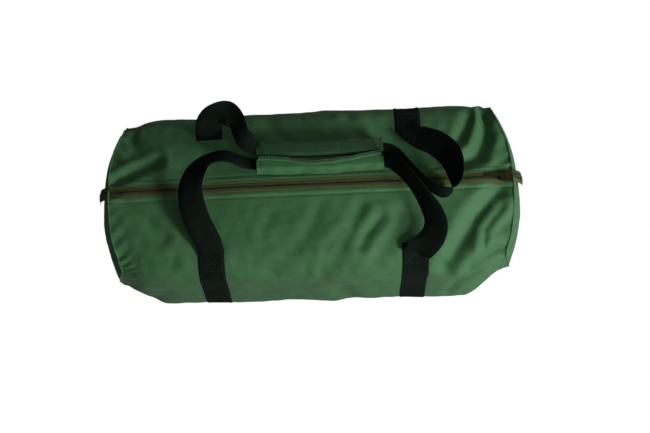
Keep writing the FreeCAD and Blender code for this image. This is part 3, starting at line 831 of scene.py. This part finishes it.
# where each strap lies, from its sewn end to inside the grip or back: centre mm, direction across, width mm
LEGS = {
    "front_left_leg": [
        ((-147, -100, 171), (1, 0, 0), 38), ((-147, -92, 178), (1, 0, 0), 38),
        ((-150, -80, 188), (1, 0.05, 0.05), 38),
        ((-161, -58, 202), (1, 0.3, 0.1), 38), ((-169, -34, 212), (0.97, 0.2, 0.2), 38),
        ((-171, -8, 219), (0.93, 0, 0.35), 38), ((-163, 14, 223), (0.78, -0.4, 0.5), 38),
        ((-147, 31, 224), (0.4, -0.6, 0.7), 36), ((-119, 38, 217), (0.1, -0.8, 0.55), 28),
        ((-92, 30, 208), (0, -0.95, 0.3), 20), ((-60, 25, 205), (0, -0.98, 0.2), 16)],
    "front_right_leg": [
        ((60, 25, 205), (0, 0.98, 0.2), 16), ((100, 28, 207), (0, 0.95, 0.3), 20),
        ((117, 22, 215), (0.3, 0.6, 0.7), 26), ((131, 6, 222), (0.25, 0.25, 0.93), 32),
        ((145, -14, 225), (0.22, 0.15, 0.96), 36), ((158, -34, 222), (0.32, 0.1, 0.94), 38),
        ((170, -54, 216), (0.65, 0, 0.75), 38), ((176, -72, 208), (0.8, -0.3, 0.5), 38),
        ((172, -88, 199), (0.75, -0.63, 0.2), 38), ((161, -99, 190), (0.72, -0.68, 0.05), 38),
        ((151, -104, 181), (0.9, -0.42, 0), 38), ((147, -104, 172), (1, 0, 0), 38)],
    "back_left_leg": [
        ((-147, 86, 172), (1, 0, 0), 38), ((-147, 83, 188), (1, 0, 0), 38),
        ((-146, 87, 204), (1, 0, -0.05), 38),
        ((-142, 94, 217), (0.95, -0.1, -0.2), 38), ((-132, 99, 227), (0.5, -0.45, -0.7), 38),
        ((-115, 98, 231), (-0.25, -0.75, -0.55), 38), ((-103, 87, 229), (-0.55, -0.3, -0.78), 36),
        ((-97, 71, 222), (-0.6, -0.15, -0.78), 32), ((-86, 57, 212), (-0.4, -0.8, -0.1), 24),
        ((-60, 47, 201), (0, -0.98, 0.2), 16)],
    "back_right_leg": [
        ((60, 47, 201), (0, 0.98, -0.2), 16), ((104, 44, 202), (0, 0.9, 0.3), 20),
        ((122, 34, 204), (0.1, 0.7, 0.7), 30), ((142, 12, 206), (0.1, 0.3, 0.95), 36),
        ((166, -12, 209), (0, 0.1, 1), 36), ((188, -28, 213), (0, 0.1, 1), 38),
        ((203, -24, 217), (0.2, 0, 1), 38), ((208, -4, 221), (0.5, 0, 0.85), 38),
        ((202, 24, 219), (0.75, 0.3, 0.55), 38), ((186, 46, 210), (0.8, 0.5, 0.35), 38),
        ((164, 62, 199), (0.8, 0.6, 0.1), 38), ((150, 76, 189), (1, 0.1, 0), 38),
        ((147, 86, 178), (1, 0, 0), 38)],
}


def handles():
    """Each leg's strap, from its sewn end to the grip, baked in place."""
    for name, stations in LEGS.items():
        word = name.split("_")[0]
        strap = ribbon(name, stations, WEBBING)
        bent(strap,
             (f"{word}_handle_webbing",))


# ---------------------------------------------------------------- padded grip
GRIP_X, GRIP_Y, GRIP_Z = 0.015, 0.036, 0.203
GRIP_HALF, GRIP_TILT = 0.091, math.radians(-12)
GRIP_TALL, GRIP_RIM = 0.0088, 0.006


def grip_point(x, y, z):
    """Across the leaning grip: y from its middle towards the back, z up out of it."""
    c, s = math.cos(GRIP_TILT), math.sin(GRIP_TILT)
    return np.stack(np.broadcast_arrays(GRIP_X + x, GRIP_Y + y * c - z * s, GRIP_Z + y * s + z * c), -1)


def grip_swell(x):
    """1 in the middle of the grip, 0 at its ends."""
    return np.cos(np.clip(x / GRIP_HALF, -1, 1) * math.pi / 2)


def grip_half(word, low, high, material, bulge):
    """One padded half: a soft loaf with flattened faces, open ends and a hemmed rim."""
    xs = np.concatenate([np.linspace(-GRIP_HALF, -GRIP_HALF + GRIP_RIM, 5), np.linspace(-0.08, 0.08, 60),
                         np.linspace(GRIP_HALF - GRIP_RIM, GRIP_HALF, 5)])
    turn = np.linspace(0, 2 * math.pi, 61)
    c, s = np.cos(turn), np.sin(turn)
    rows, uvs = [], []
    for x in xs:
        sag = 0.0022 * grip_swell(x) ** 2
        wave = 0.0006 * math.sin(x * 90 + low * 400) + 0.0005 * math.sin(x * 210)
        front = low - sag + (wave if word == "front" else 0)
        back = high + (wave if word == "back" else -sag)
        tall = GRIP_TALL + bulge * grip_swell(x) - (0.0006 if abs(x) > GRIP_HALF - 0.005 else 0)
        y = (front + back) / 2 + (back - front) / 2 * np.sign(c) * np.abs(c) ** 0.45
        z = tall * np.sign(s) * np.abs(s) ** 0.62
        z = z * (1 + 0.05 * np.sin(x * 130 + y * 200))
        rows.append(grip_point(np.full_like(turn, x), y, z))
        uvs.append(np.stack([np.full_like(turn, x), turn * 0.012], 1))
    cover = grid_mesh(f"{word}_grip_skin", np.array(rows), np.array(uvs), material)
    placed(cover, f"{word}_handle", (f"{word}_grip_cover",))
    for sign, end in ENDS:
        grip_rim(f"{word}_grip_rim_{end}", rows[0] if sign < 0 else rows[-1], sign, turn, material, word)
    return cover


def grip_rim(name, outer, sign, turn, material, word):
    """The hem turned in round one open end of a grip half."""
    middle, rings = outer.mean(0), []
    for share, out in ((1, 0), (0.93, 0.0008), (0.86, 0), (0.82, -0.012)):
        ring = middle + (outer - middle) * share
        ring[:, 0] += sign * out
        rings.append(ring)
    if sign < 0:
        rings = rings[::-1]
    uvs = np.stack(np.broadcast_arrays(np.arange(4)[:, None] * 0.002, turn[None] * 0.012), -1)
    placed(grid_mesh(name, np.array(rings), uvs, material), f"{word}_handle")


def flap_hang(x):
    """How far the upper flap's edge hangs forward over the front half."""
    return 0.0118 * grip_swell(x) ** 2


def paint_shade_under_flap(cover):
    """The upper flap covers the front half's top, as far as its hanging edge; these top faces get painted
    shade, the darker copy of the grip cloth.
    """
    c, s = math.cos(GRIP_TILT), math.sin(GRIP_TILT)
    cover.data.materials.append(GRIP_PAINTED_SHADE)
    for face in cover.data.polygons:
        x, y, z = face.center
        across, up = (y - GRIP_Y) * c + (z - GRIP_Z) * s, (z - GRIP_Z) * c - (y - GRIP_Y) * s
        # painted shade: upward faces behind the flap's hanging edge take the darker grip cloth
        if up > 0 and across > -0.0016 - flap_hang(x - GRIP_X):
            face.material_index = 1


# across a rolled hem, as (step towards the back, height)
HEM_PROFILE = [(0.0030, -0.0022), (0.0018, 0.0), (0.0, 0.0009), (-0.0014, 0.0004), (-0.0018, -0.0008),
               (-0.0012, -0.002)]


def grip():
    """Both padded halves, the double hem where the flap meets the front half, and their stitching."""
    paint_shade_under_flap(grip_half("front", -0.0228, -0.0012, FABRIC_GRIP, 0.0010))
    # painted shade: the whole back half is made in the darker copy of the grip cloth
    grip_half("back", 0.0004, 0.0262, GRIP_PAINTED_SHADE, 0.0014)
    xs = np.linspace(-GRIP_HALF + 0.002, GRIP_HALF - 0.002, 80)
    edge = 0.0007 * np.sin(xs * 95) + 0.0005 * np.sin(xs * 240) - flap_hang(xs)
    swell = 0.0010 * grip_swell(xs)
    # painted shade: the flap's hem takes the darker copy of the grip cloth, the under hem the plain grip
    # cloth
    for name, off, lift, material in (("grip_flap_hem", -0.0016, 0.0098, GRIP_PAINTED_SHADE),
                                      ("grip_under_hem", -0.0048, 0.0094, FABRIC_GRIP)):
        points = np.array([grip_point(xs, off + edge + y, lift + swell + z) for y, z in HEM_PROFILE])
        uvs = np.array([np.stack([xs, np.full_like(xs, y)], 1) for y, _ in HEM_PROFILE])
        placed(grid_mesh(name, points, uvs, material, flip=True), "front_handle")
        line = grip_point(xs, off + edge + 0.0004, lift + 0.0012 + swell)
        placed(stitches(f"{name}_stitch", [line], THREAD), "front_handle")
    for word, y in (("front", -0.0195), ("back", 0.0228)):
        line = grip_point(xs, np.full_like(xs, y), np.full_like(xs, 0.0083))
        placed(stitches(f"{word}_grip_edge_stitch", [line], THREAD), f"{word}_handle")


# ---------------------------------------------------------------- CAD pieces shown with better materials
def finish_cad_pieces():
    """The looks of the pieces that are shown as the CAD has them."""
    looks = {"zip_slider": METAL, "zip_pull": METAL, "front_grip_foam": FOAM, "back_grip_foam": FOAM,
             "grip_hook_strip": HOOKS, "grip_loop_strip": HOOKS}
    for node, material in looks.items():
        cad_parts[node].data.materials.clear()
        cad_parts[node].data.materials.append(material)


# ---------------------------------------------------------------- studio
# name, place, width in metres, power in watts, and the point it is aimed at
LAMPS = [("key", (1.32, -1.02, 0.98), 0.5, 33, (0.1, -0.05, 0.12)),
         ("top_fill", (0.5, -0.9, 2.2), 1.2, 3, (0, 0, 0.1)),
         ("back_fill", (1.5, 1.5, 0.45), 1.0, 7, (0, 0, 0.1))]


def studio():
    """A plain white floor and surround, a soft key from the front right and two weak fills."""
    floor_mesh = bpy.data.meshes.new("studio_floor")
    floor_mesh.from_pydata([(-6, -6, 0), (6, -6, 0), (6, 6, 0), (-6, 6, 0)], [], [(0, 1, 2, 3)])
    n = Nodes("studio_white")
    n.set(Base_Color=[0.4, 0.4, 0.4, 1], Roughness=0.9)
    ray = n.add("ShaderNodeLightPath").outputs["Is Camera Ray"]
    glow = n.add("ShaderNodeEmission", {"Color": [1, 1, 1, 1], "Strength": 1.0}).outputs[0]
    mix = n.add("ShaderNodeMixShader", {0: ray, 1: n.shader.outputs[0], 2: glow}).outputs[0]
    n.tree.links.new(mix, n.tree.nodes["Material Output"].inputs[0])
    floor = linked("studio_floor", floor_mesh, n.mat)
    floor.location.z = -0.0005
    world = bpy.data.worlds.new("studio")
    bpy.context.scene.world = world
    world.use_nodes = True
    background = world.node_tree.nodes["Background"]
    background.inputs["Color"].default_value = (1, 1, 1, 1)
    background.inputs["Strength"].default_value = 0.10
    for name, place, width, power, aim in LAMPS:
        lamp = bpy.data.lights.new(name, "AREA")
        lamp.size, lamp.energy = width, power
        obj = bpy.data.objects.new(name, lamp)
        obj.location = place
        obj.rotation_euler = (Vector(aim) - Vector(place)).to_track_quat("-Z", "Y").to_euler()
        bpy.context.collection.objects.link(obj)


def camera():
    """The view from above and in front, rolled a little, that frames the case."""
    cam = bpy.data.cameras.new("camera")
    obj = bpy.data.objects.new("camera", cam)
    bpy.context.collection.objects.link(obj)
    elevation, distance, roll = math.radians(72), 1.8, math.radians(2.4)
    cam.lens, cam.sensor_width = 68.8, 36
    back = Vector((0, -math.cos(elevation), math.sin(elevation)))
    up = Vector((0, math.sin(elevation), math.cos(elevation)))
    target = Vector((0, 0, RIDGE_Z)) + Vector((1, 0, 0)) * 0.019 + up * -0.0480
    obj.location = target + back * distance
    turn = (-back).to_track_quat("-Z", "Y").to_matrix() @ Matrix.Rotation(-roll, 3, "Z")
    obj.rotation_euler = turn.to_euler()
    bpy.context.scene.camera = obj


case_skin()
top_halves()
fold_strips()
end_panels()
webbing_bands()
zip_parts()
zip_stops()
zip_ends()
handles()
grip()
finish_cad_pieces()
studio()
camera()
bpy.context.scene.view_settings.view_transform = "Standard"
